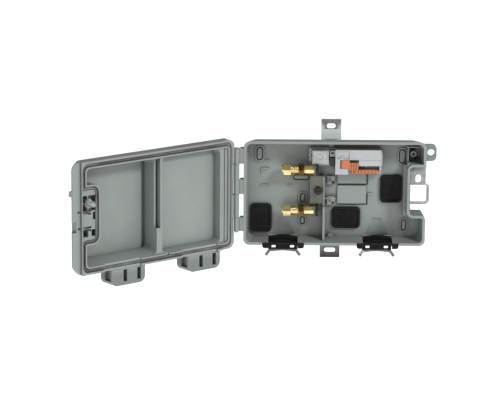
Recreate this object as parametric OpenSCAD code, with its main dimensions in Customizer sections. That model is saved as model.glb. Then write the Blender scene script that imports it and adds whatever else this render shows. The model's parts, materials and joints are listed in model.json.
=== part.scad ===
// Wall-mounted outdoor interface box for incoming coax and telephone lines, cover open.
// Sub-parts are drawn in a front view: X right, Y up, Z out of the wall.
// front_view() stands them up, so the wall plane is y = 0 and the box opens towards -Y.

/* [Base] */
// Width of the base at its rim
base_w = 182; // [180:1:184]
// Height of the base at its rim
base_h = 106; // [104:1:108]
// Distance from the wall to the base rim
base_depth = 28; // [27:1:30]
// Wall thickness of the plastic shells
wall = 2.5; // [2.2:0.1:2.8]
// How much narrower the base is at the wall, on each side
base_draft = 3.4; // [2:0.2:4]
// Distance from the wall to the front of the back panel
floor_z = 6.5; // [6.5:0.1:7]

/* [Cover] */
// Angle between the open cover and its closed position
open_angle = 141; // [0:1:170]
// Hinge axis to the free edge of the cover
cover_reach = 200; // [198:1:202]
// Height of the cover at its rim
cover_h = 111; // [111:0.5:113]
// Depth of the straight skirt round the cover
skirt_depth = 10; // [8:0.5:12]
// Depth of the deep half of the cover
dome_depth = 22.5; // [22:0.5:26]

/* [Hinge] */
// Distance from the base centre line to the hinge axis
hinge_offset = 98; // [98:0.5:99]
// Radius of the hinge pin
pin_r = 1.5; // [1.3:0.1:1.6]
// Radial running clearance of the cover knuckles on the pin
pin_clearance = 0.06; // [0.03:0.01:0.1]

/* [Fixings] */
// Radius of the hole in the mounting lug
lug_hole_r = 3.6; // [3:0.1:4]
// Width of the steel mounting brackets
bracket_w = 20; // [18:1:20]
// Thickness of the bracket steel
bracket_t = 1.6; // [1.2:0.1:1.6]
// Radius of the cover screw's shank
screw_r = 2.5; // [2:0.1:2.5]

/* [Hidden] */
$fn = 48;
eps = 0.01;
hull_fn = 32;

// Colours
grey_plastic = [0.56, 0.6, 0.57];
zinc = [0.66, 0.68, 0.68];
rubber = [0.1, 0.1, 0.1];
brass = [0.86, 0.68, 0.3];
dark_brass = [0.4, 0.28, 0.1];
dark_steel = [0.2, 0.2, 0.21];
chromate = [0.68, 0.64, 0.52];
white_plastic = [0.82, 0.83, 0.84];
orange = [0.88, 0.42, 0.2];

// Base
base_r = 6;
base_back_r = 10;
panel_back = 4;
hinge_x = -hinge_offset;
hinge_z = base_depth;
knuckle_r = 2.7;
base_knuckles = [[30, 45.5], [-1, 14], [-39, -25]];
cover_knuckles = [[14.3, 29.7], [-24.7, -1.3]];
pin_span = [-40, 46.5];

// Notch for the lock on the right, with the shelf that holds the strike plate
notch_x = 75;
notch_y = [-22, 27.8];
notch_corner_r = 5;
notch_inner_r = 4;
shelf_y = 23;
shelf_z = 22;
plate_z = [18.5, 20.5];
plate_y = [9.4, 27];
screw_pos = [83.6, 14.5];
loop_z = 15;
loop_y = [8.4, -11.2];
loop_x = 93.7;
loop_wire_r = 1.3;

// Lug and pocket boss at the top right
lug_pos = [97, 37.7];
boss_pos = [78.7, 38.2];
boss_r = 3;
pilot_r = 1.4;

// Steel brackets: one common middle line
bracket_x = -3.5;
bracket_screw_y = 47.6;
bracket_screw_r = 1.5;
bracket_boss_r = 3.2;

// Free module pads: lower and upper edge
free_pads = [[6.6, 17.8], [-14, 4.3]];
pad_groove = 1.7;

// Cable entries: [x, y, width, height] at the back, and the x of the two bottom ports
rear_entries = [[-73.4, -29.3, 21.5, 29], [12.2, -28.6, 28.5, 22], [57, 1.3, 21.5, 28.5]];
bottom_ports = [-51, 43.8];
port_half = 14.8;
port_flange_half = 21;
port_z = [8.5, 24];
flange_y = [-56.3, -50.4];
port_block_y = -52.8;
tongue_y = -61.4;
tongue_z = 10.5;
yoke_t = 1.5;

// Knockouts in the back panel: [x, y, width, height]
knockouts = [
    [-75, 36.5, 7, 14], [68, 34.5, 7, 15], [-31.6, -8.5, 6, 10], [-31.6, -32, 5.5, 8.5],
    [70.5, -36, 5.6, 12], [-33, 12.5, 17, 6]
];
knockout_rim = 1.4;
knockout_depth = 2;
knockout_groove = 1.3;
// Short moulded ribs on the back panel: [x, y, length, height]
small_ribs = [
    [-68, 46, 8, 1.4], [-44, 46, 4, 1.6], [-67.5, 29.5, 5, 1.4], [-69.6, 21.3, 8, 1.4],
    [-72.9, 19, 1.4, 5], [-70, 4, 8, 1.4], [-44, 4, 4, 1.6], [36, -4.5, 4, 2.2], [-5.8, -8.5, 11, 1.4]
];

// Coax bracket and adapters
coax_y = [22.8, -19];
coax_z = 18;
tab_x = -20.4;
steel_t = 1.2;
plate_x = -24.6;
plate_span = [-12.2, 16];
thread_r = 4.7;
thread_gap = 0.05;
adapter_bore_r = 3.6;
contact_r = 0.9;
adapter_ends = [-50.4, -16.4];
ring_x = [-36, -30.8];
ground_pos = [-16.2, 1];
ground_boss_z = 16.8;
ground_boss_r = 2.8;
washer_t = 0.8;
washer_hole_r = 2.1;
ground_screw_r = 1.9;

// Line module
module_y = [18.4, 43.4];
module_x = [0.5, 46.4];
module_z = [9.5, 22];
pad_z = 8;
lever_axis = [8.5, 19.5];
cap_x = [-23, -6.2];
cap_y = [29.2, 43];
cap_z = [9.7, 23];
cap_axis = [-24.2, 11.4];
cap_pin_r = 0.9;
cap_knuckle_r = 1.7;
ear_y = [34.5, 37.7];
lever_pin_r = 0.8;
lever_y = [24.4, 33.2];
arm_y = [19.2, 22.9];
wire_slot_y = 27.2;
test_plug_x = [-5, 0.1];

// Cover, in closed position and measured from the hinge axis: X reach, Y up, Z out
rim_gap = 0.1;
lip = 2.2;
divider_x = [93, 99.5];
rim_r = 7.5;
bevel_start = 1.5;
free_slope = 15.5;
shallow_floor = 9;
lock_x = 168.5;
lock_y = [-26.8, 32.6];
hood_reach = [40, 133.2];
screw_reach = screw_pos[0] + hinge_offset;
well_floor = 9;
well_r = 7.4;
web_back = 6;

module front_view() { rotate([90, 0, 0]) children(); }

// Places cover sub-parts drawn in closed position at the opening angle
module on_cover() {
    front_view() translate([hinge_x, 0, hinge_z]) rotate([0, -open_angle, 0]) children();
}

module rounded_rect(w, h, r) {
    square([w - 2 * r, h], center = true);
    square([w, h - 2 * r], center = true);
    for (sx = [-1, 1], sy = [-1, 1])
        translate([sx * (w / 2 - r), sy * (h / 2 - r)]) circle(r);
}

module slot_2d(w, h) { rounded_rect(w, h, min(w, h) / 2 - eps); }

// Box between two corners
module block(a, b) { translate(a) cube(b - a); }

// Cylinder along X or Y from a to b on the given axis
module rod_x(a, b, y, z, r) { translate([a, y, z]) rotate([0, 90, 0]) cylinder(r = r, h = b - a); }
module rod_y(a, b, x, z, r) { translate([x, a, z]) rotate([-90, 0, 0]) cylinder(r = r, h = b - a); }

module hex_x(a, b, y, z, across) {
    translate([a, y, z]) rotate([0, 90, 0]) cylinder(d = across / cos(30), h = b - a, $fn = 6);
}

// Tapered tray between two rounded rectangles: x0, x1 and half height at each depth
module taper(x0, x1, half, r, za, inset, zb, far_r = 0) {
    hull() for (end = [[za, 0, 0, 0, r], [zb, inset[0], inset[1], inset[2], far_r > 0 ? far_r : r]])
        translate([(x0 + end[1] + x1 - end[2]) / 2, 0, end[0]])
            linear_extrude(eps)
                rounded_rect(x1 - x0 - end[1] - end[2], 2 * (half - end[3]), end[4], $fn = hull_fn);
}

// ---- Base ----

// Outline of the base rim moved inwards, with the lock notch taken out
module rim_outline(inset) {
    difference() {
        rounded_rect(base_w - 2 * inset, base_h - 2 * inset, base_r - inset / 2);
        notch_outline(inset);
    }
}

// The lock notch with round inner corners, and what lies outside the round corner below it
module notch_outline(inset) {
    r = notch_corner_r - inset;
    translate([notch_x - inset + 40, (notch_y[0] + notch_y[1]) / 2])
        rounded_rect(80, notch_y[1] - notch_y[0] + 2 * inset, notch_inner_r + inset);
    translate([base_w / 2 - notch_corner_r, notch_y[0] - notch_corner_r]) difference() {
        square(r + 1);
        circle(r);
    }
}

module base_solid(inset, za) {
    draft = base_draft * (base_depth - za) / base_depth;
    difference() {
        taper(-base_w / 2 + inset, base_w / 2 - inset, base_h / 2 - inset, base_r - inset / 2,
              base_depth + (inset > 0 ? 1 : 0), [draft, draft, draft], za, base_back_r - inset);
        translate([0, 0, -1]) linear_extrude(base_depth + 4) notch_outline(inset);
    }
}

// Hollow behind the back panel, left solid round the rear entries and the port ramps
module back_hollow() {
    difference() {
        translate([0, 0, -1]) linear_extrude(panel_back + 1) difference() {
            rounded_rect(base_w - 2 * base_draft - 2 * wall, base_h - 2 * base_draft - 2 * wall,
                         base_back_r - wall);
            translate([notch_x - wall, -60]) square([60, 120]);
            for (x = bottom_ports) translate([x - 13, -60]) square([26, 32]);
            for (y = [-1, 1]) translate([0, y * 14]) square([150, 2], center = true);
            for (x = [-32, 30]) translate([x, 0]) square([2, 110], center = true);
        }
        for (y = [-1, 1]) translate([bracket_x, y * 50, 0])
            for (x = [-1, 1]) translate([x * (bracket_w / 2 + 1.3), 0, 0])
                cube([2, 30, 2 * panel_back], center = true);
    }
}

module bracket_channel() {
    for (s = [-1, 1]) block([bracket_x - bracket_w / 2, s > 0 ? 37 : -60, -1],
                            [bracket_x + bracket_w / 2, s > 0 ? 60 : -37, panel_back]);
}

module hinge_arms() {
    for (span = base_knuckles) {
        rod_y(span[0], span[1], hinge_x, hinge_z, knuckle_r);
        block([hinge_x, span[0], hinge_z - knuckle_r], [-base_w / 2 + 1.5, span[1], hinge_z - 0.4]);
        block([hinge_x + 3.5, span[0], hinge_z - 9], [-base_w / 2 + 2, span[0] + 2, hinge_z - 0.4]);
        block([hinge_x + 3.5, span[1] - 2, hinge_z - 9], [-base_w / 2 + 2, span[1], hinge_z - 0.4]);
    }
}

module mounting_lug() {
    linear_extrude(panel_back) difference() {
        union() {
            translate([lug_pos[0] - 4, lug_pos[1]]) rounded_rect(19, 17, 5);
            translate([84, lug_pos[1] - 8.5]) square([8, 17]);
        }
    }
}

// Shelf that carries the strike plate, and the outer edge beside the pocket
module strike_shelf() {
    block([notch_x - wall, shelf_y, 0], [91, notch_y[1] + wall, shelf_z]);
    block([notch_x - wall, notch_y[0], 0], [notch_x + 0.8, notch_y[1], shelf_z]);
}

module divider_rib() {
    block([-11.6, -base_h / 2 + 4, floor_z - 1], [-9.4, -15.2, 22]);
    block([-11.6, -16, floor_z - 1], [-9.8, 15, 17]);
    block([-11.6, -base_h / 2 + 1.5, 12], [-9.4, -base_h / 2 + 5, 22]);
    block([-9.4, -9.2, floor_z - 1], [2, -7.8, 11]);
}

module module_pads() {
    block([3.4, 27, floor_z - 1], [32.2, 42, pad_z]);
    for (y = free_pads) block([3.4, y[0], floor_z - 1], [32.2, y[1], pad_z + 0.6]);
    // Clip posts beside the pads
    for (y = [10, -11]) difference() {
        block([-7, y - 4, floor_z - 1], [0.4, y + 4.4, 10.5]);
        block([-2.6, y - 3.6, floor_z], [1, y - 0.4, 14]);
        block([-5.6, y - 1, 9.5], [-3.4, y + 3, 14]);
    }
}

// Grooves below and to the right of the free pads
module pad_grooves() {
    depth = 2.4;
    for (y = free_pads) {
        block([3.4, y[0] - pad_groove, floor_z - depth], [32.2 + pad_groove, y[0], pad_z + 1]);
        block([32.2, y[0] - pad_groove, floor_z - depth], [32.2 + pad_groove, y[0] + 9, pad_z + 1]);
    }
}

module knockout_rims() {
    for (k = knockouts) translate([k[0], k[1], floor_z - 1]) linear_extrude(1 + knockout_rim)
        slot_2d(k[2] + 2.6, k[3] + 2.6);
    for (r = small_ribs) translate([r[0], r[1], floor_z - 0.5])
        linear_extrude(1.7) square([r[2], r[3]], center = true);
}

// Groove that lets each knockout be broken out
module knockout_grooves() {
    for (k = knockouts) translate([k[0], k[1], floor_z - knockout_depth])
        linear_extrude(knockout_depth + 5) difference() {
            slot_2d(k[2], k[3]);
            slot_2d(k[2] - 2 * knockout_groove, k[3] - 2 * knockout_groove);
        }
}

// Shallow fan-shaped ramp in the back panel above each bottom port
module port_ramps() {
    for (x = bottom_ports) translate([x, -29, floor_z + 15]) rotate([90, 0, 0])
        cylinder(r1 = 15.9, r2 = 19.4, h = 19);
}

// Openings in the bottom wall that hold the cable grommets
module port_cuts() {
    for (x = bottom_ports) {
        block([x - port_half, -60, port_z[0] - yoke_t],
              [x + port_half, -base_h / 2 + 5.2, base_depth + 1]);
        block([x - port_flange_half, -60, port_z[1]],
              [x + port_flange_half, flange_y[1], base_depth + 1]);
    }
}

module base_housing() {
    color(grey_plastic) front_view() difference() {
        union() {
            difference() {
                base_solid(0, 0);
                base_solid(wall, floor_z);
                back_hollow();
            }
            strike_shelf();
            hinge_arms();
            mounting_lug();
            divider_rib();
            module_pads();
            knockout_rims();
            translate([boss_pos[0], boss_pos[1], floor_z - 1]) cylinder(r = boss_r, h = 8);
            // Frame of the pocket round that boss
            block([72.8, notch_y[1], floor_z - 1], [74, 46, 15]);
            block([72.8, 44.8, floor_z - 1], [85.5, 46, 15]);
            translate([ground_pos[0], ground_pos[1], floor_z - 1])
                cylinder(r = ground_boss_r, h = ground_boss_z - floor_z + 1);
            for (s = [-1, 1]) translate([bracket_x, s * bracket_screw_y, panel_back])
                cylinder(r = bracket_boss_r, h = 8);
            // Ledge that stiffens the wall beside the lock notch
            block([notch_x - wall - 3.4, notch_y[0] - 2, floor_z - 1], [notch_x - 1, notch_y[1], 17]);
        }
        bracket_channel();
        knockout_grooves();
        pad_grooves();
        port_ramps();
        port_cuts();
        for (e = rear_entries) translate([e[0], e[1], -1])
            linear_extrude(20) rounded_rect(e[2] - 4, e[3] - 4, 3);
        for (e = rear_entries) translate([e[0], e[1], -1])
            linear_extrude(panel_back + 1) rounded_rect(e[2], e[3], 4);
        translate([lug_pos[0], lug_pos[1], -1]) cylinder(r = lug_hole_r, h = 10);
        translate([boss_pos[0], boss_pos[1], floor_z + 1]) cylinder(r = pilot_r, h = 10);
        // Recesses in the floor of the pocket
        block([75.5, 41.6, 1.4], [81.5, 44.4, floor_z + 1]);
        block([79.6, 31, 1.4], [86, 34.6, floor_z + 1]);
        translate([ground_pos[0], ground_pos[1], floor_z + 1]) cylinder(r = ground_screw_r, h = 20);
        for (s = [-1, 1]) translate([bracket_x, s * bracket_screw_y, -1])
            cylinder(r = bracket_screw_r, h = 12);
        rod_y(-50, 50, hinge_x, hinge_z, pin_r);
        // Seats of the strike plate and the padlock loop
        block([notch_x - 1.7, plate_y[0], plate_z[0]], [91 + 1, plate_y[1], plate_z[1]]);
        for (y = loop_y) rod_x(notch_x - 5, notch_x + 2, y, loop_z, loop_wire_r);
    }
}

// Steel strap from behind the back panel out to the wall plane; dir is 1 at the top
module strap(dir, reach, slot_y, slot) {
    t = bracket_t;
    front = panel_back;
    inner_y = 40.6;
    bend_y = [51.6, 59.6];
    mirror([0, dir < 0 ? 1 : 0, 0]) difference() {
        translate([bracket_x - bracket_w / 2, 0, 0]) rotate([90, 0, 90]) linear_extrude(bracket_w)
            polygon([
                [inner_y, front - t], [bend_y[0], front - t], [bend_y[1], 0], [reach, 0],
                [reach, t], [bend_y[1] + 0.6, t], [bend_y[0] + 0.6, front], [inner_y, front]
            ]);
        translate([bracket_x, slot_y, -1]) linear_extrude(5) slot_2d(slot[0], slot[1]);
        translate([bracket_x, bracket_screw_y, -1]) cylinder(r = bracket_screw_r, h = 8);
    }
}

module top_bracket() { color(zinc) front_view() strap(1, 71, 64, [9, 5]); }
module bottom_bracket() { color(zinc) front_view() strap(-1, 71.7, 64, [11.4, 4.6]); }

module bracket_screws() {
    color(zinc) front_view() for (s = [-1, 1]) translate([bracket_x, s * bracket_screw_y, 0]) {
        translate([0, 0, 0.5]) cylinder(r = 2.9, h = panel_back - bracket_t - 0.5);
        translate([0, 0, 1]) cylinder(r = bracket_screw_r, h = 9.5);
    }
}

module strike_plate() {
    color(zinc) front_view() difference() {
        block([notch_x - 1.7, plate_y[0], plate_z[0]], [91, plate_y[1], plate_z[1]]);
        translate([screw_pos[0], screw_pos[1], 0]) linear_extrude(40) slot_2d(5.6, 8.6);
    }
}

// Staple of round wire that takes a padlock beside the cover's edge
module padlock_loop() {
    bend = 3;
    color(zinc) front_view() {
        for (y = loop_y) rod_x(notch_x - 5, loop_x - bend, y, loop_z, loop_wire_r);
        rod_y(loop_y[1] + bend, loop_y[0] - bend, loop_x, loop_z, loop_wire_r);
        translate([loop_x - bend, loop_y[0] - bend, loop_z])
            rotate_extrude(angle = 90) translate([bend, 0]) circle(loop_wire_r);
        translate([loop_x - bend, loop_y[1] + bend, loop_z]) rotate([0, 0, -90])
            rotate_extrude(angle = 90) translate([bend, 0]) circle(loop_wire_r);
    }
}

module hinge_pin() {
    color(zinc) front_view() {
        rod_y(pin_span[0], pin_span[1], hinge_x, hinge_z, pin_r);
        rod_y(base_knuckles[0][1], pin_span[1], hinge_x, hinge_z, 2.2);
    }
}

// ---- Cable entries ----

module rear_grommet(e) {
    color(rubber) front_view() translate([e[0], e[1], 0]) difference() {
        union() {
            translate([0, 0, bracket_t + 0.2]) linear_extrude(panel_back - bracket_t - 0.2)
                rounded_rect(e[2] - 0.4, e[3] - 0.4, 4);
            linear_extrude(floor_z) rounded_rect(e[2] - 4, e[3] - 4, 3);
            translate([0, 0, floor_z]) linear_extrude(3) rounded_rect(e[2], e[3], 4.2);
        }
        translate([0, 0, -1]) linear_extrude(6) rounded_rect(e[2] - 7, e[3] - 7, 2.5);
        translate([0, 0, floor_z + 1.6]) linear_extrude(5) rounded_rect(e[2] - 5, e[3] - 5, 2.6);
    }
}

module rear_grommet_left() { rear_grommet(rear_entries[0]); }
module rear_grommet_middle() { rear_grommet(rear_entries[1]); }
module rear_grommet_right() { rear_grommet(rear_entries[2]); }

// Arched outline of the grommet's body, with its top at the given height
module grommet_arch(top) {
    arch_r = 40;
    intersection() {
        translate([-port_half, port_block_y]) square([2 * port_half, 20]);
        translate([0, top - arch_r]) circle(arch_r, $fn = 128);
    }
}

// See-through holes for cable ties
module tie_holes() {
    for (s = [-1, 1]) translate([s * 9.3, -58.8, 0])
        linear_extrude(tongue_z + 1) rounded_rect(4.2, 3, 0.8);
}

// Flange along the rim, with an ear hanging down at each end
module grommet_flange() {
    difference() {
        translate([0, (flange_y[0] + flange_y[1]) / 2])
            rounded_rect(2 * port_flange_half, flange_y[1] - flange_y[0], 2.4);
        translate([0, flange_y[0]])
            rounded_rect(2 * port_half - 0.4, 2 * (port_block_y - flange_y[0]), 1.6);
    }
}

// Rubber block in a bottom port: a groove across its top, a flange along the rim and a tongue
module cable_grommet(x) {
    back_top = -46.2;
    front_top = -48.5;
    groove = [15, 21];
    color(rubber) front_view() translate([x, 0, 0]) difference() {
        union() {
            translate([0, 0, port_z[0]]) linear_extrude(groove[0] - port_z[0]) grommet_arch(back_top);
            block([-port_half, port_block_y, groove[0]], [port_half, -51.5, port_z[1]]);
            translate([0, 0, groove[1]]) linear_extrude(port_z[1] - groove[1]) grommet_arch(front_top);
            block([-port_half, port_block_y, port_z[1]], [port_half, -50, base_depth - 1.5]);
            translate([0, 0, port_z[1]]) linear_extrude(base_depth - port_z[1]) grommet_flange();
            block([-port_half + 0.4, tongue_y, port_z[0]], [port_half - 0.4, port_block_y + 1, tongue_z]);
        }
        tie_holes();
    }
}

module cable_grommet_left() { cable_grommet(bottom_ports[0]); }
module cable_grommet_right() { cable_grommet(bottom_ports[1]); }

// Steel plate behind a grommet, with splayed legs to tie the cables to
module strain_yoke(x) {
    back = port_z[0] - yoke_t;
    foot = -64.2;
    leg_x = 13.7;
    color(zinc) front_view() translate([x, 0, 0]) {
        difference() {
            block([-port_half, foot, back], [port_half, -47, port_z[0]]);
            translate([0, foot - 60, 0]) cylinder(r = 60.8, h = 20, $fn = 128);
            tie_holes();
        }
        for (s = [-1, 1]) translate([s * leg_x, foot + 1.2, back]) rotate([0, 0, s * 36])
            block([-1.3, -6, 0], [1.3, 0.6, 4]);
    }
}

module strain_yoke_left() { strain_yoke(bottom_ports[0]); }
module strain_yoke_right() { strain_yoke(bottom_ports[1]); }

// ---- Coax side ----

module coax_bracket() {
    front = ground_boss_z + steel_t;
    right = -11.8;
    color(chromate) front_view() difference() {
        union() {
            block([plate_x, plate_span[0], ground_boss_z], [right, plate_span[1], front]);
            block([right - steel_t, plate_span[0], floor_z], [right, plate_span[1], front]);
            block([plate_x, plate_span[0], floor_z], [plate_x + steel_t, 7, front]);
            // Upright web with the two tabs that hold the adapters
            block([tab_x, -26.5, 9.5], [tab_x + steel_t, 28.4, front]);
            for (y = coax_y) block([tab_x, y - 7.5, 9.5], [tab_x + steel_t, y + 5.6, 25.5]);
        }
        for (y = coax_y) rod_x(tab_x - 1, tab_x + 3, y, coax_z, thread_r + thread_gap);
        translate([ground_pos[0], ground_pos[1], 0]) cylinder(r = washer_hole_r, h = 40);
    }
}

// Brass through adapter: threaded barrel and a shoulder that rests on the bracket
module coax_adapter(y) {
    color(brass) front_view() difference() {
        union() {
            rod_x(adapter_ends[0], adapter_ends[1], y, coax_z, thread_r);
            rod_x(ring_x[1] + 0.6, tab_x, y, coax_z, thread_r + 0.3);
        }
        rod_x(adapter_ends[0] - 1, adapter_ends[1] + 1, y, coax_z, adapter_bore_r);
    }
}

module coax_adapter_upper() { coax_adapter(coax_y[0]); }
module coax_adapter_lower() { coax_adapter(coax_y[1]); }

// Dark hex ring round the middle of each adapter
module adapter_rings() {
    color(dark_brass) front_view() for (y = coax_y) difference() {
        hex_x(ring_x[0], ring_x[1], y, coax_z, 10.8);
        rod_x(ring_x[0] - 1, ring_x[1] + 1, y, coax_z, thread_r + thread_gap);
    }
}

// Nuts behind the bracket's tabs
module adapter_nuts() {
    near = tab_x + steel_t;
    color(dark_steel) front_view() for (y = coax_y) difference() {
        hex_x(near, near + 3, y, coax_z, 11.1);
        rod_x(near - 1, near + 4, y, coax_z, thread_r + thread_gap);
    }
}

module adapter_insulators() {
    near = adapter_ends[0] + 1.5;
    far = adapter_ends[1] - 1;
    color(white_plastic) front_view() for (y = coax_y) difference() {
        rod_x(near, far, y, coax_z, adapter_bore_r);
        rod_x(near - 1, far + 1, y, coax_z, contact_r);
        rod_x(near + 3, far - 3, y, coax_z, 2.4);
    }
}

module adapter_contacts() {
    near = adapter_ends[0] + 1.9;
    far = adapter_ends[1] - 1.4;
    color(brass) front_view() for (y = coax_y) difference() {
        rod_x(near, far, y, coax_z, contact_r);
        rod_x(near - 1, near + 5, y, coax_z, contact_r / 2);
        rod_x(far - 5, far + 1, y, coax_z, contact_r / 2);
    }
}

// Hex cap screwed over the free end of each adapter
module port_caps() {
    color(brass) front_view() for (y = coax_y) difference() {
        union() {
            hex_x(-51.2, -43.8, y, coax_z, 10.4);
            rod_x(-52.4, -51.2, y, coax_z, 4.4);
        }
        rod_x(adapter_ends[0] - 0.2, -43, y, coax_z, thread_r + thread_gap);
    }
}

module ground_screw() {
    seat = ground_boss_z + steel_t + washer_t;
    color(dark_steel) front_view() translate([ground_pos[0], ground_pos[1], 0]) difference() {
        union() {
            translate([0, 0, floor_z + 1.5]) cylinder(r = ground_screw_r, h = seat - floor_z - 1.5);
            translate([0, 0, seat]) cylinder(r = 4.2, h = 0.8);
            translate([0, 0, seat]) cylinder(d = 7 / cos(30), h = 3.6, $fn = 6);
        }
        translate([-5, -0.6, seat + 2.6]) cube([10, 1.2, 3]);
    }
}

module ground_washer() {
    color(dark_steel) front_view() translate([ground_pos[0], ground_pos[1], ground_boss_z + steel_t])
        difference() {
            cylinder(r = 4.4, h = washer_t);
            translate([0, 0, -1]) cylinder(r = washer_hole_r, h = 3);
        }
}

// ---- Line module ----

// White body with a carrier plate to its left, a step for the lever arm and a wire slot
module module_base() {
    top = module_z[1] + 1;
    color(white_plastic) front_view() difference() {
        union() {
            block([module_x[0], module_y[0], module_z[0]], [module_x[1], module_y[1], module_z[1]]);
            block([module_x[1] - 1, 27, module_z[0]], [module_x[1] + 1.6, 41, module_z[1] - 6]);
            block([cap_x[0] - 0.4, 25, pad_z], [module_x[1], module_y[1], module_z[0]]);
            // Housing of the contacts above the test plug
            block([test_plug_x[0] + 0.2, 35.4, pad_z], [module_x[0] + 1, 41.6, 17]);
            // Ear that holds the pin of the cap
            rod_y(ear_y[0], ear_y[1], cap_axis[0], cap_axis[1], cap_knuckle_r);
            block([cap_axis[0] - cap_knuckle_r, ear_y[0], pad_z],
                  [cap_axis[0] + 1.1, ear_y[1], cap_axis[1]]);
        }
        block([13.4, module_y[0] - 1, 16], [module_x[1] + 1, arm_y[1] + 0.2, top]);
        block([13.4, module_y[0] - 1, 16], [23.8, lever_y[0], top]);
        block([23.6, arm_y[1] + 0.1, 12], [44.6, wire_slot_y, top]);
        block([24, wire_slot_y - 1, module_z[1] - 0.7], [module_x[1] + 1, lever_y[1], top]);
        block([5.3, lever_y[0] - 0.2, 16.2], [23.8, lever_y[1] + 0.2, top]);
        block([-3.8, 38.2, 14.5], [-0.8, 40.4, top]);
        // Recess in the front above the lever, with a raised pad
        difference() {
            block([1.8, lever_y[1] + 1.2, module_z[1] - 0.8], [14.6, 42.2, top]);
            block([5.6, lever_y[1] + 1.2, module_z[1] - 1], [8.6, 37.2, module_z[1] - 0.1]);
        }
        rod_y(19.4, 36, lever_axis[0], lever_axis[1], lever_pin_r);
        rod_y(ear_y[0] - 1, ear_y[1] + 1, cap_axis[0], cap_axis[1], cap_pin_r);
        terminal_blades(12.5);
    }
}

// Telephone jack under the clear cap
module line_jack() {
    color(white_plastic) front_view() difference() {
        block([-21.2, 30.8, module_z[0]], [-9.2, 41.4, 19.5]);
        block([-19.2, 31.8, 11.6], [-11.4, 37.4, 21]);
        block([-17.4, 37, 11.6], [-13.2, 39.2, 21]);
    }
}

module jack_contacts() {
    color(brass) front_view() for (i = [0:3])
        block([-18 + 1.6 * i, 31.8, 11.6], [-17.4 + 1.6 * i, 37, 13.4]);
}

// Black test plug between the jack and the module body, with a nose that enters the jack's side
module test_plug() {
    color(rubber) front_view() {
        block([test_plug_x[0], 25.8, module_z[0]], [test_plug_x[1], 34.8, 18.4]);
        block([-9.2, 31.6, 13], [test_plug_x[0] + 0.2, 34.4, 16]);
    }
}

module terminal_blades(top) {
    for (i = [0:3]) block([26.4 + 5 * i, wire_slot_y - 1.9, 10.5], [27.6 + 5 * i, wire_slot_y - 0.1, top]);
}

module line_terminals() { color(brass) front_view() terminal_blades(13.4); }

module cap_pin() {
    color(zinc) front_view()
        rod_y(cap_y[0] + 0.2, cap_y[1] - 0.2, cap_axis[0], cap_axis[1], cap_pin_r);
}

module lever_pin() {
    color(zinc) front_view() rod_y(20, 35.6, lever_axis[0], lever_axis[1], lever_pin_r);
}

// Clear cap, open at the back and on the right, with two knuckles at its rear left edge
module module_cap() {
    t = 1.2;
    color([0.9, 0.93, 0.95, 0.5]) front_view() difference() {
        union() {
            difference() {
                block([cap_x[0], cap_y[0], cap_z[0]], [cap_x[1], cap_y[1], cap_z[1]]);
                block([cap_x[0] + t, cap_y[0] + t, cap_z[0] - 1],
                      [cap_x[1] + 1, cap_y[1] - t, cap_z[1] - t]);
            }
            rod_y(cap_y[0], cap_y[1], cap_axis[0], cap_axis[1], cap_knuckle_r);
        }
        rod_y(ear_y[0] - 0.2, ear_y[1] + 0.2, cap_axis[0], cap_axis[1], cap_knuckle_r + 0.2);
        rod_y(20, 50, cap_axis[0], cap_axis[1], cap_pin_r + pin_clearance);
    }
}

// Orange lever: knuckle and ridged thumb block, with a toothed arm along the lower edge
module module_lever() {
    thumb_z = 23;
    color(orange) front_view() difference() {
        union() {
            rod_y(lever_y[0], lever_y[1], lever_axis[0], lever_axis[1], 3);
            block([lever_axis[0], lever_y[0], 16.6], [14.8, lever_y[1], 22.5]);
            block([14.4, 22.6, 16.6], [23.4, 30.6, thumb_z]);
            block([15.6, arm_y[0], 16.3], [45, arm_y[1], 19.6]);
            for (i = [0:7]) block([17 + 3.5 * i, arm_y[0], 19], [18.8 + 3.5 * i, arm_y[1], 20.6]);
        }
        rod_y(10, 40, lever_axis[0], lever_axis[1], lever_pin_r + pin_clearance);
        for (i = [0:2]) block([16 + 2.4 * i, 20, thumb_z - 0.8], [17 + 2.4 * i, 40, thumb_z + 1]);
    }
}

// ---- Cover ----

// Hinge-axis frame: x is the reach from the axis
module rim_plate(z0, z1, r) {
    translate([(3 + cover_reach) / 2, 0, z0]) linear_extrude(z1 - z0) difference() {
        rounded_rect(cover_reach - 3, cover_h, r);
        // Bevel at the lower free corner
        translate([(cover_reach - 3) / 2, -cover_h / 2]) rotate(45) square([14, 14], center = true);
    }
}

module cover_outside() {
    rim_plate(0, bevel_start + 0.1, rim_r);
    intersection() {
        union() {
            rim_plate(0, skirt_depth, rim_r);
            taper(3, divider_x[1] + 4, cover_h / 2, 6, skirt_depth, [3, 0, 3], skirt_depth + 2.2);
            taper(divider_x[0] + 2, cover_reach, cover_h / 2, 6,
                  skirt_depth, [3, 13, 4.5], dome_depth);
        }
        // The free side slopes back from the rim, with rounder corners behind
        taper(-20, cover_reach, cover_h / 2, rim_r, bevel_start, [0, free_slope, 0], dome_depth, 16);
    }
}

module cover_inside() {
    taper(21, divider_x[0], 48.2, 5, -1, [0.5, 0, 2.5], shallow_floor);
    difference() {
        taper(divider_x[1], 184.4, 48.2, 5, -1, [1, 8, 4], dome_depth - wall);
        translate([lock_x + 30, (lock_y[0] + lock_y[1]) / 2, -2]) linear_extrude(60)
            rounded_rect(60, lock_y[1] - lock_y[0], 7);
    }
    // Groove along the foot of the divider
    floor_w = dome_depth - wall;
    block([divider_x[1] + 0.6, -45.5, floor_w - 1], [divider_x[1] + 4, 45.5, floor_w + 1.5]);
}

// Slit in the divider between the two halves
module divider_slit() {
    block([divider_x[0] + 2.2, -22, -1], [divider_x[1] - 2, 47.4, skirt_depth - 0.8]);
    block([divider_x[0] + 2.2, -22, -1], [divider_x[1] + 1, 47.4, 4.6]);
}

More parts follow.
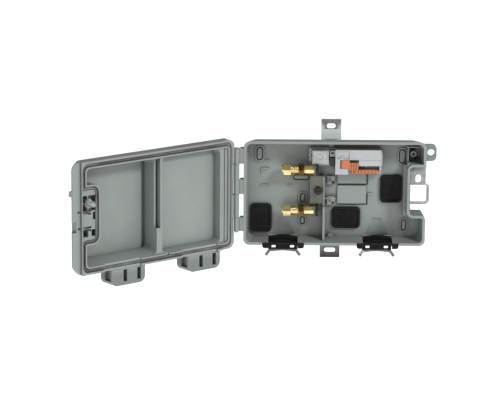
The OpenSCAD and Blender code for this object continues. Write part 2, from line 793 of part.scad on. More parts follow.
// Gasket path: the base rim seen from the hinge axis
module gasket_path(outer, inner, z0, z1) {
    translate([hinge_offset, 0, z0]) linear_extrude(z1 - z0) difference() {
        rim_outline(outer);
        rim_outline(inner);
    }
}

// Sealing lip that stands into the base just inside its rim
module inner_lip() {
    translate([hinge_offset, 0, -1.6]) linear_extrude(1.8) difference() {
        rim_outline(3.2);
        rim_outline(4.6);
        for (x = bottom_ports) translate([x - 22, -60]) square([44, 14]);
        translate([bracket_x - 9, -60]) square([4, 16]);
    }
}

// Drip lip outside the base rim, left out along the hinge and beside the lock
module outer_lip() {
    intersection() {
        rim_plate(-lip, 0.2, rim_r);
        translate([hinge_offset, 0, -5]) linear_extrude(10) difference() {
            square([260, 160], center = true);
            rounded_rect(base_w + 1.2, base_h + 1.2, base_r + 0.6);
            translate([-130, -80]) square([50, 160]);
            translate([base_w / 2 + 1.5, -80]) square([60, 160]);
            for (x = bottom_ports) translate([x - 22, -60]) square([44, 14]);
        }
    }
}

// Hood over a group of cables below the cover, with slots in its back
module cable_hood(x) {
    top = -cover_h / 2;
    difference() {
        translate([x, top, 1]) linear_extrude(18.5) difference() {
            translate([0, -6]) rounded_rect(40, 23, 6.5);
            translate([-30, 1.5]) square([60, 10]);
        }
        for (s = [-15, 1.6]) block([x + s, top - 14, 0], [x + s + 4.4, top - 2, 17]);
        block([x + 16.4, top - 13, 3], [x + 21, top - 2, 13]);
    }
}

// Recesses and ribs of the lock block, seen from inside
module lock_recesses() {
    s = screw_pos[1];
    difference() {
        block([lock_x + 0.8, s - 7.6, -3], [190.5, s + 7.6, web_back]);
        translate([screw_reach, s, 0]) cylinder(r = 4.2, h = 20);
        for (a = [0, 90]) translate([screw_reach, s, 4]) rotate(a) cube([24, 1.4, 6], center = true);
        block([188.4, s - 7.6, 2.5], [191, s + 7.6, 20]);
    }
    block([lock_x + 2, -2, -3], [lock_x + 7.6, 5.6, 8]);
    for (x = [171.8, 181.6]) block([x, -18.4, -3], [x + 6, -11.6, 9]);
    // Bevels above and below the tongue
    for (y = [6.6, -9.6]) translate([0, y, 0]) {
        block([178, -0.6, -3], [194, 1.4, 2.4]);
        translate([190, 0, 0]) rotate(12) block([-12, -1.2, -3], [4, 0.8, 2]);
    }
}

module cover_knuckle_solid() {
    for (span = cover_knuckles) {
        rod_y(span[0], span[1], 0, 0, knuckle_r);
        block([0, span[0], 0.3], [4, span[1], knuckle_r]);
        for (y = [span[0], span[1] - 2]) block([0, y, 0], [6, y + 2, 6]);
    }
}

module cover() {
    s = screw_pos[1];
    color(grey_plastic) on_cover() difference() {
        union() {
            difference() {
                union() {
                    cover_outside();
                    for (x = hood_reach) cable_hood(x);
                }
                cover_inside();
                divider_slit();
                gasket_path(-0.4, 2.9, -1, 1.6);
                // Shallow lines on the ledge beside the hinge
                block([15, -48, -1], [16.2, 48, 0.8]);
                lock_recesses();
                // Notch in the free edge, beside the padlock loop
                block([cover_reach - 4.5, -12.5, -5], [cover_reach + 1, -2, skirt_depth + 2]);
                // Relief over the hinge arms of the base
                for (span = base_knuckles)
                    block([2, span[0] - 0.4, -1], [5.6, span[1] + 0.4, 1]);
            }
            cover_knuckle_solid();
            inner_lip();
            outer_lip();
            block([cover_reach - 5, 23, 0.4], [cover_reach + 1.4, 28, 4]);
        }
        // Well for the screw head from the front, then the bore through the web
        translate([screw_reach, s, well_floor]) cylinder(r = well_r, h = 40);
        translate([screw_reach, s, -5]) cylinder(r = screw_r + 0.1, h = 40);
        rod_y(-50, 50, 0, 0, pin_r + pin_clearance);
    }
}

module cover_gasket() {
    color(rubber) on_cover() gasket_path(0.2, 2.3, rim_gap, 1.6);
}

module cover_screw() {
    s = screw_pos[1];
    color(zinc) on_cover() translate([screw_reach, s, 0]) {
        translate([0, 0, -9]) cylinder(r = screw_r, h = 9 + well_floor + 0.5);
        translate([0, 0, -10]) cylinder(r1 = screw_r - 0.9, r2 = screw_r, h = 1);
        translate([0, 0, well_floor + 0.05]) cylinder(r = 6.4, h = 1.2);
        translate([0, 0, well_floor + 0.05]) cylinder(d = 9.5 / cos(30), h = 5.6, $fn = 6);
    }
}

// Push-on clip that keeps the screw in the cover
module screw_clip() {
    color(zinc) on_cover() translate([screw_reach, screw_pos[1], 0]) difference() {
        translate([0, 0, -1.3]) cylinder(r = 4.4, h = 1.2);
        translate([0, 0, -3]) cylinder(r = screw_r, h = 6);
    }
}

base_housing();
top_bracket();
bottom_bracket();
bracket_screws();
strike_plate();
padlock_loop();
hinge_pin();
rear_grommet_left();
rear_grommet_middle();
rear_grommet_right();
cable_grommet_left();
cable_grommet_right();
strain_yoke_left();
strain_yoke_right();
coax_bracket();
coax_adapter_upper();
coax_adapter_lower();
adapter_rings();
adapter_nuts();
adapter_insulators();
adapter_contacts();
port_caps();
ground_screw();
ground_washer();
module_base();
line_jack();
jack_contacts();
test_plug();
line_terminals();
cap_pin();
lever_pin();
module_cap();
module_lever();
cover();
cover_gasket();
cover_screw();
screw_clip();
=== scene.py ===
"""Looks of the open wall box: plastic, plated steel, rubber and brass round the CAD frame."""

import json
import math

import bmesh
import bpy
from mathutils import Matrix, Vector


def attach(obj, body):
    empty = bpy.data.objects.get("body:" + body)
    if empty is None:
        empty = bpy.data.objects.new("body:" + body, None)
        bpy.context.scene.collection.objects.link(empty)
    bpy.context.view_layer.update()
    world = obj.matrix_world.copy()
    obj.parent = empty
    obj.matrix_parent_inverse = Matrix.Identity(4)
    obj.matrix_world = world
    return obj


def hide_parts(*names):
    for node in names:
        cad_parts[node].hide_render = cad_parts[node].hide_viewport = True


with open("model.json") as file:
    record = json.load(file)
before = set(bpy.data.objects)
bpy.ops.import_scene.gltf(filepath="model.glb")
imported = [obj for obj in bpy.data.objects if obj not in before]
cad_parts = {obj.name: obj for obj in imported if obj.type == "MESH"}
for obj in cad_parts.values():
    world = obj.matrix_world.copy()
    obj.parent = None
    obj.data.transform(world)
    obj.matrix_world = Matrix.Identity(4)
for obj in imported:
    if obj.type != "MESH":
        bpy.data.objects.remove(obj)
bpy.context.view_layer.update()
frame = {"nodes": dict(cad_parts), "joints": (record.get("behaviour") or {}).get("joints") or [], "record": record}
NODES = frame["nodes"]
JOINTS = {joint["name"]: joint for joint in frame["joints"]}
BODY_OF = {
    node: body
    for body, members in frame["record"]["behaviour"]["bodies"].items()
    for node in members
}
SLOT_OF = {row["node"]: row["material_slot"] for row in frame["record"]["subparts"]}
MM = 0.001

# ---------------------------------------------------------------- camera, light and floor

CAMERA_TARGET = Vector((-0.0845, 0.0, -0.0132))
CAMERA_DISTANCE = 2.70
CAMERA_ELEVATION = math.radians(12.76)
CAMERA_ROLL = math.radians(0.42)
CAMERA_LENS = 192.5
CAMERA_FAR = 60.0
LIGHT_AIM = Vector((-0.08, 0.0, 0.0))
WORLD_STRENGTH = 0.26
FLOOR_HALF = 14.0
FLOOR_HEIGHT = -0.32
FLOOR_GLOW = 0.75
WHITE = (1.0, 1.0, 1.0)


def make_camera():
    data = bpy.data.cameras.new("camera")
    data.lens = CAMERA_LENS
    data.sensor_width = 36.0
    data.clip_end = CAMERA_FAR
    camera = bpy.data.objects.new("camera", data)
    bpy.context.scene.collection.objects.link(camera)
    back = Vector((0.0, -math.cos(CAMERA_ELEVATION), math.sin(CAMERA_ELEVATION)))
    turn = (-back).to_track_quat("-Z", "Y").to_matrix() @ Matrix.Rotation(CAMERA_ROLL, 3, "Z")
    camera.matrix_world = (
        Matrix.Translation(CAMERA_TARGET + back * CAMERA_DISTANCE) @ turn.to_4x4()
    )
    bpy.context.scene.camera = camera


def area_light(name, place, size, energy, colour=WHITE):
    """A round soft light, aimed at the middle of the object."""
    data = bpy.data.lights.new(name, "AREA")
    data.shape = "DISK"
    data.size = size
    data.energy = energy
    data.color = colour
    lamp = bpy.data.objects.new(name, data)
    bpy.context.scene.collection.objects.link(lamp)
    lamp.location = place
    lamp.rotation_euler = (LIGHT_AIM - Vector(place)).to_track_quat("-Z", "Y").to_euler()


def make_light():
    area_light("key", place=(1.55, -1.55, 1.55), size=0.6, energy=44.0)
    area_light("fill", place=(-1.6, -2.1, 0.5), size=1.1, energy=9.0, colour=(0.97, 0.99, 1.0))
    world = bpy.data.worlds.new("studio")
    world.use_nodes = True
    background = world.node_tree.nodes["Background"]
    background.inputs["Color"].default_value = (*WHITE, 1.0)
    background.inputs["Strength"].default_value = WORLD_STRENGTH
    bpy.context.scene.world = world
    bpy.context.scene.view_settings.view_transform = "Standard"


def make_floor():
    mesh = bpy.data.meshes.new("floor")
    signs = ((-1, -1), (1, -1), (1, 1), (-1, 1))
    corners = [(x * FLOOR_HALF, y * FLOOR_HALF, FLOOR_HEIGHT) for x, y in signs]
    mesh.from_pydata(corners, [], [(0, 1, 2, 3)])
    floor = bpy.data.objects.new("floor", mesh)
    bpy.context.scene.collection.objects.link(floor)
    paint = Paint("studio_floor", (0.97, 0.97, 0.97), 0.9)
    paint.colour_noise(3.0, (0.95, 0.95, 0.95), (0.98, 0.98, 0.98))
    paint.shader.inputs["Emission Color"].default_value = (*WHITE, 1.0)
    paint.shader.inputs["Emission Strength"].default_value = FLOOR_GLOW
    mesh.materials.append(paint.material)


# ---------------------------------------------------------------- materials

# Shares of open space round a point, from closed to open, between which a mask fades
CREVICE_FADE = (0.35, 0.85)
DEEP_FADE = (0.35, 0.95)
OPEN_EDGE_FADE = (0.6, 0.85)
# Dot product of the true and the rounded normal, from a sharp edge to a flat
EDGE_FADE = (0.75, 0.97)
EDGE_RADIUS = 0.0006
# Upward part of the normal, from upright to leaning back
SKY_FADE = (0.03, 0.12)
# Scale of a noise along each axis; below 1 it's drawn out that way
ALONG_Z = (1.0, 1.0, 0.12)
ALONG_X = (0.1, 1.0, 1.0)
FLOW_MARKS = (1.0, 1.0, 3.0)


class Paint:
    """A Principled material with helpers that add procedural detail in object space.

    Noise and cell scales are in features per metre; distances are in metres.
    """

    def __init__(self, name, colour, roughness, metallic=0.0):
        self.material = bpy.data.materials.new(name)
        self.material.use_nodes = True
        self.nodes = self.material.node_tree.nodes
        self.links = self.material.node_tree.links
        self.shader = self.nodes["Principled BSDF"]
        self.shader.inputs["Base Color"].default_value = (*colour, 1.0)
        self.shader.inputs["Roughness"].default_value = roughness
        self.shader.inputs["Metallic"].default_value = metallic
        self.coords = self.nodes.new("ShaderNodeTexCoord").outputs["Object"]
        self.colour = colour
        self.normal = None
        self.openness = None

    def noise(self, scale, detail=3.0, roughness=0.55, stretch=(1.0, 1.0, 1.0)):
        mapping = self.nodes.new("ShaderNodeMapping")
        mapping.inputs["Scale"].default_value = stretch
        self.links.new(self.coords, mapping.inputs["Vector"])
        noise = self.nodes.new("ShaderNodeTexNoise")
        noise.inputs["Scale"].default_value = scale
        noise.inputs["Detail"].default_value = detail
        noise.inputs["Roughness"].default_value = roughness
        self.links.new(mapping.outputs["Vector"], noise.inputs["Vector"])
        return noise.outputs["Fac"]

    def cells(self, scale):
        """A random grey for each cell of a Voronoi pattern."""
        cells = self.nodes.new("ShaderNodeTexVoronoi")
        cells.inputs["Scale"].default_value = scale
        self.links.new(self.coords, cells.inputs["Vector"])
        separate = self.nodes.new("ShaderNodeSeparateColor")
        self.links.new(cells.outputs["Color"], separate.inputs["Color"])
        return separate.outputs["Red"]

    def ramp(self, value, low, high, start=0.3, end=0.7):
        ramp = self.nodes.new("ShaderNodeValToRGB")
        ramp.color_ramp.elements[0].position = start
        ramp.color_ramp.elements[0].color = (*low, 1.0)
        ramp.color_ramp.elements[1].position = end
        ramp.color_ramp.elements[1].color = (*high, 1.0)
        self.links.new(value, ramp.inputs["Fac"])
        return ramp.outputs["Color"]

    def mix(self, factor, first, second):
        """Mixes two colours; each argument is a number, a colour or a socket."""
        mix = self.nodes.new("ShaderNodeMix")
        mix.data_type = "RGBA"
        # The factor and the two colours of this node's colour mode
        sockets = (mix.inputs[0], mix.inputs[6], mix.inputs[7])
        for socket, value in zip(sockets, (factor, first, second)):
            if isinstance(value, float):
                socket.default_value = value
            elif isinstance(value, tuple):
                socket.default_value = (*value, 1.0)
            else:
                self.links.new(value, socket)
        return mix.outputs[2]

    def remap(self, value, low, high, start=0.3, end=0.7):
        """Runs from low to high while the value runs from start to end."""
        remap = self.nodes.new("ShaderNodeMapRange")
        remap.inputs["From Min"].default_value = start
        remap.inputs["From Max"].default_value = end
        remap.inputs["To Min"].default_value = low
        remap.inputs["To Max"].default_value = high
        self.links.new(value, remap.inputs["Value"])
        return remap.outputs["Result"]

    def set_colour(self, colour):
        self.links.new(colour, self.shader.inputs["Base Color"])
        self.colour = colour

    def colour_noise(self, scale, low, high, detail=3.0):
        self.set_colour(self.ramp(self.noise(scale, detail), low, high))

    def paint_crevice_shade(self, colour, distance, strength):
        """Paints shade into the inner corners: darkens them towards a colour where little open space is round a
        point.
        """
        self.openness = self.occlusion(distance)
        amount = self.remap(self.openness, strength, 0.0, *CREVICE_FADE)
        self.set_colour(self.mix(amount, self.colour, colour))

    def paint_deep_shade(self, colour, distance, strength):
        """Painted shade: a broad darkening that thickens towards the deep corners and under the walls, where less
        light reaches.
        """
        amount = self.remap(self.occlusion(distance), strength, 0.0, *DEEP_FADE)
        self.set_colour(self.mix(amount, self.colour, colour))

    def darken_below(self, colour, top, bottom, strength):
        """Darkens the colour below a height, more towards the bottom."""
        height = self.nodes.new("ShaderNodeSeparateXYZ")
        self.links.new(self.coords, height.inputs["Vector"])
        amount = self.remap(height.outputs["Z"], strength, 0.0, bottom, top)
        self.set_colour(self.mix(amount, self.colour, colour))

    def paint_sky_light(self, colour, strength):
        """A painted highlight: paler colour on the faces that lean towards the sky, where the light from above
        falls.
        """
        geometry = self.nodes.new("ShaderNodeNewGeometry")
        lean = self.nodes.new("ShaderNodeSeparateXYZ")
        self.links.new(geometry.outputs["Normal"], lean.inputs["Vector"])
        amount = self.remap(lean.outputs["Z"], 0.0, strength, *SKY_FADE)
        self.set_colour(self.mix(amount, self.colour, colour))

    def occlusion(self, distance):
        """The share of open space round a point, 0 in a closed corner and 1 in the open."""
        shade = self.nodes.new("ShaderNodeAmbientOcclusion")
        shade.inputs["Distance"].default_value = distance
        shade.samples = 6
        return shade.outputs["AO"]

    def worn_edges(self, colour, strength):
        """Polishes the convex edges a little paler, broken up by noise."""
        bevel = self.nodes.new("ShaderNodeBevel")
        bevel.samples = 4
        bevel.inputs["Radius"].default_value = EDGE_RADIUS
        geometry = self.nodes.new("ShaderNodeNewGeometry")
        facing = self.nodes.new("ShaderNodeVectorMath")
        facing.operation = "DOT_PRODUCT"
        self.links.new(bevel.outputs["Normal"], facing.inputs[0])
        self.links.new(geometry.outputs["Normal"], facing.inputs[1])
        edge = self.remap(facing.outputs["Value"], strength, 0.0, *EDGE_FADE)
        masks = [self.remap(self.noise(260.0), 0.2, 1.0)]
        if self.openness is not None:
            masks.append(self.remap(self.openness, 0.0, 1.0, *OPEN_EDGE_FADE))
        for mask in masks:
            product = self.nodes.new("ShaderNodeMath")
            product.operation = "MULTIPLY"
            self.links.new(edge, product.inputs[0])
            self.links.new(mask, product.inputs[1])
            edge = product.outputs[0]
        self.set_colour(self.mix(edge, self.colour, colour))

    def rough_noise(self, scale, low, high, stretch=(1.0, 1.0, 1.0)):
        roughness = self.remap(self.noise(scale, 4.0, 0.6, stretch), low, high)
        self.links.new(roughness, self.shader.inputs["Roughness"])

    def bump(self, value, distance, strength):
        """Adds a layer of bump on top of those before it."""
        bump = self.nodes.new("ShaderNodeBump")
        bump.inputs["Distance"].default_value = distance
        bump.inputs["Strength"].default_value = strength
        self.links.new(value, bump.inputs["Height"])
        if self.normal is not None:
            self.links.new(self.normal, bump.inputs["Normal"])
        self.normal = bump.outputs["Normal"]
        self.links.new(self.normal, self.shader.inputs["Normal"])


def scaled(colour, factor):
    """A colour made darker or paler by a factor."""
    return tuple(min(1.0, channel * factor) for channel in colour)


def moulded_plastic(name, colour, spread, roughness, grain=1500.0, grain_depth=0.00006):
    """Injection-moulded plastic: fine grain, slow colour drift, flow marks and rubbed edges."""
    paint = Paint(name, colour, roughness)
    paint.colour_noise(24.0, scaled(colour, 1.0 - spread), scaled(colour, 1.0 + spread), 5.0)
    specks = paint.remap(paint.noise(700.0), 0.0, 0.18)
    paint.set_colour(paint.mix(specks, paint.colour, scaled(colour, 0.8)))
    # Painted shade in the inner corners
    paint.paint_crevice_shade(scaled(colour, 0.42), 0.006, 0.75)
    paint.worn_edges(scaled(colour, 1.3), 0.3)
    paint.rough_noise(60.0, roughness - 0.08, roughness + 0.1)
    paint.bump(paint.noise(grain, 2.0), grain_depth, 0.5)
    paint.bump(paint.noise(18.0, 2.0, 0.4, FLOW_MARKS), 0.0006, 0.12)
    return paint


def plated_steel(name, tone, metallic):
    """Zinc with its spangle, dull patches and a faint rolling direction."""
    paint = Paint(name, (tone,) * 3, 0.38, metallic)
    low = (tone * 0.8, tone * 0.83, tone * 0.83)
    high = (tone * 1.2, tone * 1.25, tone * 1.26)
    paint.set_colour(paint.ramp(paint.cells(420.0), low, high, 0.0, 1.0))
    patches = paint.remap(paint.noise(90.0, 5.0), 0.0, 0.35, 0.5, 0.75)
    paint.set_colour(paint.mix(patches, paint.colour, (tone * 0.6,) * 3))
    # Painted shade in the inner corners
    paint.paint_crevice_shade((tone * 0.25,) * 3, 0.003, 0.5)
    # Painted highlight on the faces that lean upward
    paint.paint_sky_light((0.7, 0.76, 0.74), 0.9)
    paint.rough_noise(500.0, 0.3, 0.5, ALONG_Z)
    paint.bump(paint.noise(900.0, 2.0, 0.5, ALONG_X), 0.00004, 0.5)
    return paint


def stained_steel():
    """Galvanised steel, darker towards its lower end."""
    paint = plated_steel("stained_steel", 0.15, 0.25)
    paint.darken_below((0.014, 0.014, 0.013), -0.0605, -0.071, 0.95)
    return paint


def yellow_chromate():
    """Chromated steel that drifts between olive and a reddish blush."""
    paint = Paint("chromated_steel", (0.16, 0.17, 0.13), 0.45, 0.6)
    paint.set_colour(
        paint.ramp(paint.noise(70.0, 4.0), (0.1, 0.125, 0.1), (0.135, 0.13, 0.095), 0.35, 0.65)
    )
    blush = paint.remap(paint.noise(130.0, 2.0), 0.0, 0.35, 0.5, 0.7)
    paint.set_colour(paint.mix(blush, paint.colour, (0.12, 0.095, 0.085)))
    paint.rough_noise(300.0, 0.3, 0.48)
    paint.bump(paint.noise(1200.0), 0.00003, 0.4)
    return paint


def brass(name, low, high):
    """Plated or bare brass with painted shade in its corners."""
    paint = Paint(name, high, 0.22, 1.0)
    paint.set_colour(paint.ramp(paint.noise(160.0, 4.0), low, high, 0.35, 0.65))
    # Painted shade in the inner corners
    paint.paint_crevice_shade(scaled(low, 0.25), 0.0015, 0.7)
    paint.rough_noise(400.0, 0.16, 0.3)
    paint.bump(paint.noise(1600.0), 0.00002, 0.4)
    return paint


def dull_rubber(name, tone, roughness):
    """Matt rubber with a chalky bloom."""
    paint = Paint(name, (tone,) * 3, roughness)
    paint.colour_noise(45.0, (tone * 0.6,) * 3, (tone * 1.6,) * 3, 4.0)
    bloom = paint.remap(paint.noise(9.0, 3.0), 0.0, 0.07, 0.45, 0.7)
    paint.set_colour(paint.mix(bloom, paint.colour, (0.03, 0.032, 0.03)))
    paint.shader.inputs["Specular IOR Level"].default_value = 0.16
    paint.rough_noise(140.0, roughness - 0.12, roughness + 0.1)
    paint.bump(paint.noise(1400.0, 3.0), 0.00008, 0.6)
    return paint


def black_oxide():
    """Blackened steel, rubbed bright on its edges."""
    paint = Paint("dark_steel", (0.03, 0.03, 0.03), 0.45, 0.5)
    paint.colour_noise(220.0, (0.012, 0.012, 0.014), (0.04, 0.036, 0.035), 4.0)
    paint.worn_edges((0.2, 0.19, 0.18), 0.3)
    paint.rough_noise(400.0, 0.3, 0.55)
    paint.bump(paint.noise(1200.0), 0.00003, 0.5)
    return paint


def clear_plastic():
    """Clear plastic gone slightly milky."""
    paint = Paint("clear_cap_plastic", (0.8, 0.83, 0.83), 0.12)
    paint.colour_noise(60.0, (0.6, 0.64, 0.63), (0.86, 0.88, 0.88))
    paint.shader.inputs["Alpha"].default_value = 0.26
    paint.shader.inputs["IOR"].default_value = 1.49
    paint.shader.inputs["Coat Weight"].default_value = 0.6
    paint.rough_noise(80.0, 0.06, 0.24)
    paint.bump(paint.noise(120.0, 2.0), 0.0002, 0.3)
    return paint


def make_paints():
    """One material per slot of the record."""
    grey = moulded_plastic("grey_plastic", (0.245, 0.27, 0.255), 0.07, 0.46)
    # Broad painted shade in the deep parts of the grey plastic
    grey.paint_deep_shade((0.06, 0.067, 0.062), 0.03, 0.33)
    grey.darken_below((0.125, 0.14, 0.135), -0.055, -0.062, 0.75)
    white = moulded_plastic("white_plastic", (0.4, 0.42, 0.43), 0.04, 0.38, 900.0, 0.00003)
    orange = moulded_plastic("orange_plastic", (0.5, 0.165, 0.065), 0.08, 0.34, 900.0, 0.00003)
    black = moulded_plastic("black_plastic", (0.018, 0.018, 0.02), 0.2, 0.4, 900.0, 0.00003)
    return {
        "grey_plastic": grey,
        "white_plastic": white,
        "orange_plastic": orange,
        "black_plastic": black,
        "zinc_steel": plated_steel("zinc_steel", 0.29, 0.85),
        "galvanised_steel": plated_steel("galvanised_steel", 0.16, 0.25),
        "stained_steel": stained_steel(),
        "chromated_steel": yellow_chromate(),
        "dark_steel": black_oxide(),
        "gold_brass": brass("gold_brass", (0.74, 0.55, 0.22), (0.93, 0.77, 0.42)),
        # A shaded copy of the brass: painted shade for the parts in this slot, which sit in shadow
        "dark_brass": brass("dark_brass", (0.12, 0.06, 0.014), (0.24, 0.14, 0.045)),
        "black_rubber": dull_rubber("black_rubber", 0.006, 0.62),
        "gasket_rubber": dull_rubber("gasket_rubber", 0.12, 0.85),
        "clear_plastic": clear_plastic(),
    }


PAINTS = make_paints()

# ---------------------------------------------------------------- mesh tools

SHARP_DEGREES = 32.0
WELD_DISTANCE = 2e-6
FLAT_DEGREES = 0.05
EDGE_SEGMENTS = 2


def add_piece(name, mesh, body, slot, replaced=None):
    """Links a finished mesh as a piece of a body, with the material of a record slot."""
    mesh.materials.clear()
    mesh.materials.append(PAINTS[slot].material)
    piece = bpy.data.objects.new(name, mesh)
    bpy.context.scene.collection.objects.link(piece)
    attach(piece, body)
    if replaced:
        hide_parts(replaced)
    return piece


def shade_by_angle(mesh, degrees=SHARP_DEGREES):
    """Smooth faces, with edges sharper than the angle kept crisp."""
    mesh.polygons.foreach_set("use_smooth", [True] * len(mesh.polygons))
    mesh.set_sharp_from_angle(angle=math.radians(degrees))


def clean_copy(node):
    """The node's mesh with its split vertices merged and its flat faces joined."""
    work = bmesh.new()
    work.from_mesh(NODES[node].data)
    bmesh.ops.remove_doubles(work, verts=work.verts, dist=WELD_DISTANCE)
    bmesh.ops.dissolve_limit(
        work, angle_limit=math.radians(FLAT_DEGREES), verts=work.verts, edges=work.edges,
        delimit={"NORMAL"},
    )
    mesh = bpy.data.meshes.new(node + "_finished")
    work.to_mesh(mesh)
    work.free()
    for name in [layer.name for layer in mesh.uv_layers]:
        mesh.uv_layers.remove(mesh.uv_layers[name])
    return mesh


def finish_node(node, width):
    """Stands a copy with edges softened by a width in millimetres in for a CAD node."""
    mesh = clean_copy(node)
    shade_by_angle(mesh)
    piece = add_piece(node + "_finished", mesh, BODY_OF[node], SLOT_OF[node], node)
    bevel = piece.modifiers.new("edges", "BEVEL")
    bevel.width = width * MM
    bevel.segments = EDGE_SEGMENTS
    bevel.limit_method = "ANGLE"
    bevel.angle_limit = math.radians(SHARP_DEGREES)
    bevel.harden_normals = True
    bevel.use_clamp_overlap = True


def paint_node(node):
    """Paints a small CAD node that keeps its own mesh."""
    data = NODES[node].data
    data.materials.clear()
    data.materials.append(PAINTS[SLOT_OF[node]].material)


def frame_of(axis):
    """An axis made a unit vector, and two unit vectors square to it."""
    axis = Vector(axis).normalized()
    side = axis.cross(Vector((0.0, 0.0, 1.0)))
    if side.length < 0.1:
        side = axis.cross(Vector((1.0, 0.0, 0.0)))
    side.normalize()
    return axis, side, axis.cross(side)


THREAD_PITCH = 0.8 * MM
THREAD_SINK = 0.25 * MM
RINGS_PER_TURN = 8
POINTS_PER_RING = 48
CREST_GAIN = 1.5
ROOT_SHARE = 0.35


def thread_sleeve(name, start, axis, length, radius, depth, body, slot):
    """A closed sleeve with a real helical thread, sitting on a plain CAD cylinder."""
    axis, side, up = frame_of(axis)
    around = POINTS_PER_RING
    rings = int(round(length / THREAD_PITCH * RINGS_PER_TURN))
    verts = []
    faces = []
    for i in range(rings + 1):
        along = length * i / rings
        fade = min(1.0, along / THREAD_PITCH, (length - along) / THREAD_PITCH)
        for j in range(around):
            angle = 2.0 * math.pi * j / around
            phase = (along / THREAD_PITCH - j / around) % 1.0
            crest = min(1.0, CREST_GAIN * (1.0 - abs(2.0 * phase - 1.0)))
            reach = radius + depth * (crest - ROOT_SHARE) * max(0.0, fade)
            if i in (0, rings):
                reach = radius - THREAD_SINK
            spoke = side * math.cos(angle) + up * math.sin(angle)
            verts.append(tuple(start + axis * along + spoke * reach))
    for i in range(rings):
        for j in range(around):
            k = (j + 1) % around
            low, high = i * around, (i + 1) * around
            faces.append((low + j, low + k, high + k, high + j))
    faces.append(tuple(range(around)))
    faces.append(tuple(rings * around + j for j in reversed(range(around))))
    mesh = bpy.data.meshes.new(name)
    mesh.from_pydata(verts, [], faces)
    fix_normals(mesh)
    shade_by_angle(mesh, degrees=50.0)
    add_piece(name, mesh, body, slot)


def fix_normals(mesh):
    """Turns every face outward."""
    work = bmesh.new()
    work.from_mesh(mesh)
    bmesh.ops.recalc_face_normals(work, faces=work.faces)
    work.to_mesh(mesh)
    work.free()


# ---------------------------------------------------------------- CAD nodes with softened edges

# Millimetres; a node that isn't here keeps its own mesh
EDGE_WIDTHS = {
    "base_housing": 0.35,
    "cover": 0.45,
    "top_bracket": 0.25,
    "bottom_bracket": 0.25,
    "strike_plate": 0.2,
    "strain_yoke_left": 0.25,
    "strain_yoke_right": 0.25,
    "rear_grommet_left": 0.6,
    "rear_grommet_middle": 0.6,
    "rear_grommet_right": 0.6,
    "cable_grommet_left": 0.7,
    "cable_grommet_right": 0.7,
    "coax_bracket": 0.2,
    "coax_adapter_upper": 0.2,
    "coax_adapter_lower": 0.2,
    "adapter_rings": 0.5,
    "adapter_nuts": 0.4,
    "port_caps": 0.6,
    "ground_screw": 0.2,
    "module_base": 0.35,
    "line_jack": 0.3,
    "test_plug": 0.4,
    "module_cap": 0.35,
    "module_lever": 0.35,
    "cover_screw": 0.3,
}


def finish_nodes():
    for node in NODES:
        if node in EDGE_WIDTHS:
            finish_node(node, EDGE_WIDTHS[node])
        else:
            paint_node(node)


# ---------------------------------------------------------------- added detail

# Millimetres, but turns in radians; a pair is x and height, and ADAPTER_DEPTH and GROMMET_FACE
# are distances out of the wall
ADAPTER_HEIGHTS = {"upper": 22.8, "lower": -19.0}
ADAPTER_DEPTH = 18.0
ADAPTER_THREAD_START = -44.4
ADAPTER_THREAD_LENGTH = 8.6
ADAPTER_THREAD_RADIUS = 4.72
ADAPTER_THREAD_DEPTH = 0.32
SCREW_THREAD_BELOW = 8.9
SCREW_THREAD_LENGTH = 7.4
SCREW_THREAD_RADIUS = 2.48
SCREW_THREAD_DEPTH = 0.26
GROMMET_FACE = 8.1
LEFT_GROMMET = (-73.4, -29.8)
LEFT_RIB_STEPS = (-4.2, -1.4, 1.4, 4.2)
MIDDLE_GROMMET = (12.2, -28.6)
MIDDLE_RING_RADII = (3.2, 6.4)
RIGHT_GROMMET = (57.0, 1.3)
RIGHT_BAR_TURNS = (0.4, 1.97)
RELIEF_EDGE = 0.3
RING_THICKNESS = 0.55
RING_POINTS = 40
BEAD_POINTS = 8


def at(x, depth, height):
    """A point from millimetres: to the right, out of the wall and up."""
    return Vector((x * MM, -depth * MM, height * MM))


def bar(name, centre, size, turn=0.0):
    """A rubber bar with rounded edges on the base, turned about the depth axis."""
    work = bmesh.new()
    bmesh.ops.create_cube(work, size=1.0)
    bmesh.ops.scale(work, vec=[length * MM for length in size], verts=work.verts)
    bmesh.ops.bevel(
        work, geom=work.edges, offset=RELIEF_EDGE * MM, segments=EDGE_SEGMENTS, affect="EDGES",
        profile=0.5,
    )
    turned = Matrix.Rotation(turn, 3, "Y")
    bmesh.ops.rotate(work, cent=(0, 0, 0), matrix=turned, verts=work.verts)
    bmesh.ops.translate(work, vec=centre, verts=work.verts)
    mesh = bpy.data.meshes.new(name)
    work.to_mesh(mesh)
    work.free()
    shade_by_angle(mesh, degrees=40.0)
    add_piece(name, mesh, "base", "black_rubber")


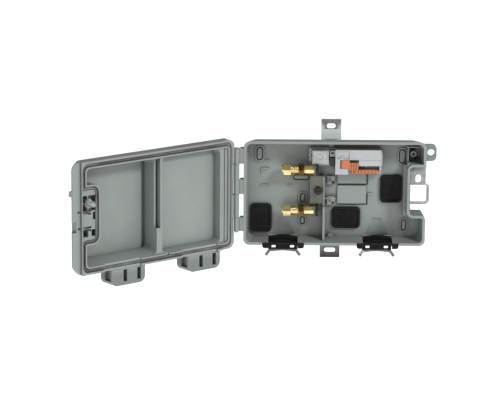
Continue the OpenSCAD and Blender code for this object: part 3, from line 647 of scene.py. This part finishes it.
def ring(name, centre, radius):
    """A round rubber bead on the base, lying in the wall plane."""
    verts = []
    faces = []
    for i in range(RING_POINTS):
        turn = 2.0 * math.pi * i / RING_POINTS
        for j in range(BEAD_POINTS):
            roll = 2.0 * math.pi * j / BEAD_POINTS
            reach = radius + RING_THICKNESS * math.cos(roll)
            rise = RING_THICKNESS * math.sin(roll)
            point = Vector((reach * math.cos(turn), -rise, reach * math.sin(turn)))
            verts.append(tuple(centre + point * MM))
    for i in range(RING_POINTS):
        low, high = i * BEAD_POINTS, (i + 1) % RING_POINTS * BEAD_POINTS
        for j in range(BEAD_POINTS):
            k = (j + 1) % BEAD_POINTS
            faces.append((low + j, high + j, high + k, low + k))
    mesh = bpy.data.meshes.new(name)
    mesh.from_pydata(verts, [], faces)
    fix_normals(mesh)
    shade_by_angle(mesh, degrees=60.0)
    add_piece(name, mesh, "base", "black_rubber")


def adapter_threads():
    for row, height in ADAPTER_HEIGHTS.items():
        thread_sleeve(
            f"thread_{row}", at(ADAPTER_THREAD_START, ADAPTER_DEPTH, height), (1, 0, 0),
            ADAPTER_THREAD_LENGTH * MM, ADAPTER_THREAD_RADIUS * MM, ADAPTER_THREAD_DEPTH * MM,
            "base", "gold_brass",
        )


def cover_screw_thread():
    """The thread on the shank, which ends just short of the joint's origin."""
    joint = JOINTS["cover_screw_turn"]
    axis = Vector(joint["axis"])
    start = Vector(joint["pos_m"]) - axis * SCREW_THREAD_BELOW * MM
    thread_sleeve(
        "cover_screw_thread", start, axis,
        SCREW_THREAD_LENGTH * MM, SCREW_THREAD_RADIUS * MM, SCREW_THREAD_DEPTH * MM,
        BODY_OF["cover_screw"], "zinc_steel",
    )


def grommet_relief():
    """Ribs, rings and crossed bars on the faces of the rear entry grommets."""
    x, height = LEFT_GROMMET
    for step in LEFT_RIB_STEPS:
        name = f"left_grommet_rib_{step:.0f}".replace("-", "m")
        bar(name, at(x + step, GROMMET_FACE, height), (1.1, 1.0, 12.0))
    x, height = MIDDLE_GROMMET
    for radius in MIDDLE_RING_RADII:
        ring(f"middle_grommet_ring_{int(radius)}", at(x, GROMMET_FACE, height), radius)
    x, height = RIGHT_GROMMET
    for turn in RIGHT_BAR_TURNS:
        name = f"right_grommet_bar_{int(turn * 10)}"
        bar(name, at(x, GROMMET_FACE, height), (13.0, 1.0, 1.2), turn)


make_camera()
make_light()
make_floor()
finish_nodes()
adapter_threads()
cover_screw_thread()
grommet_relief()
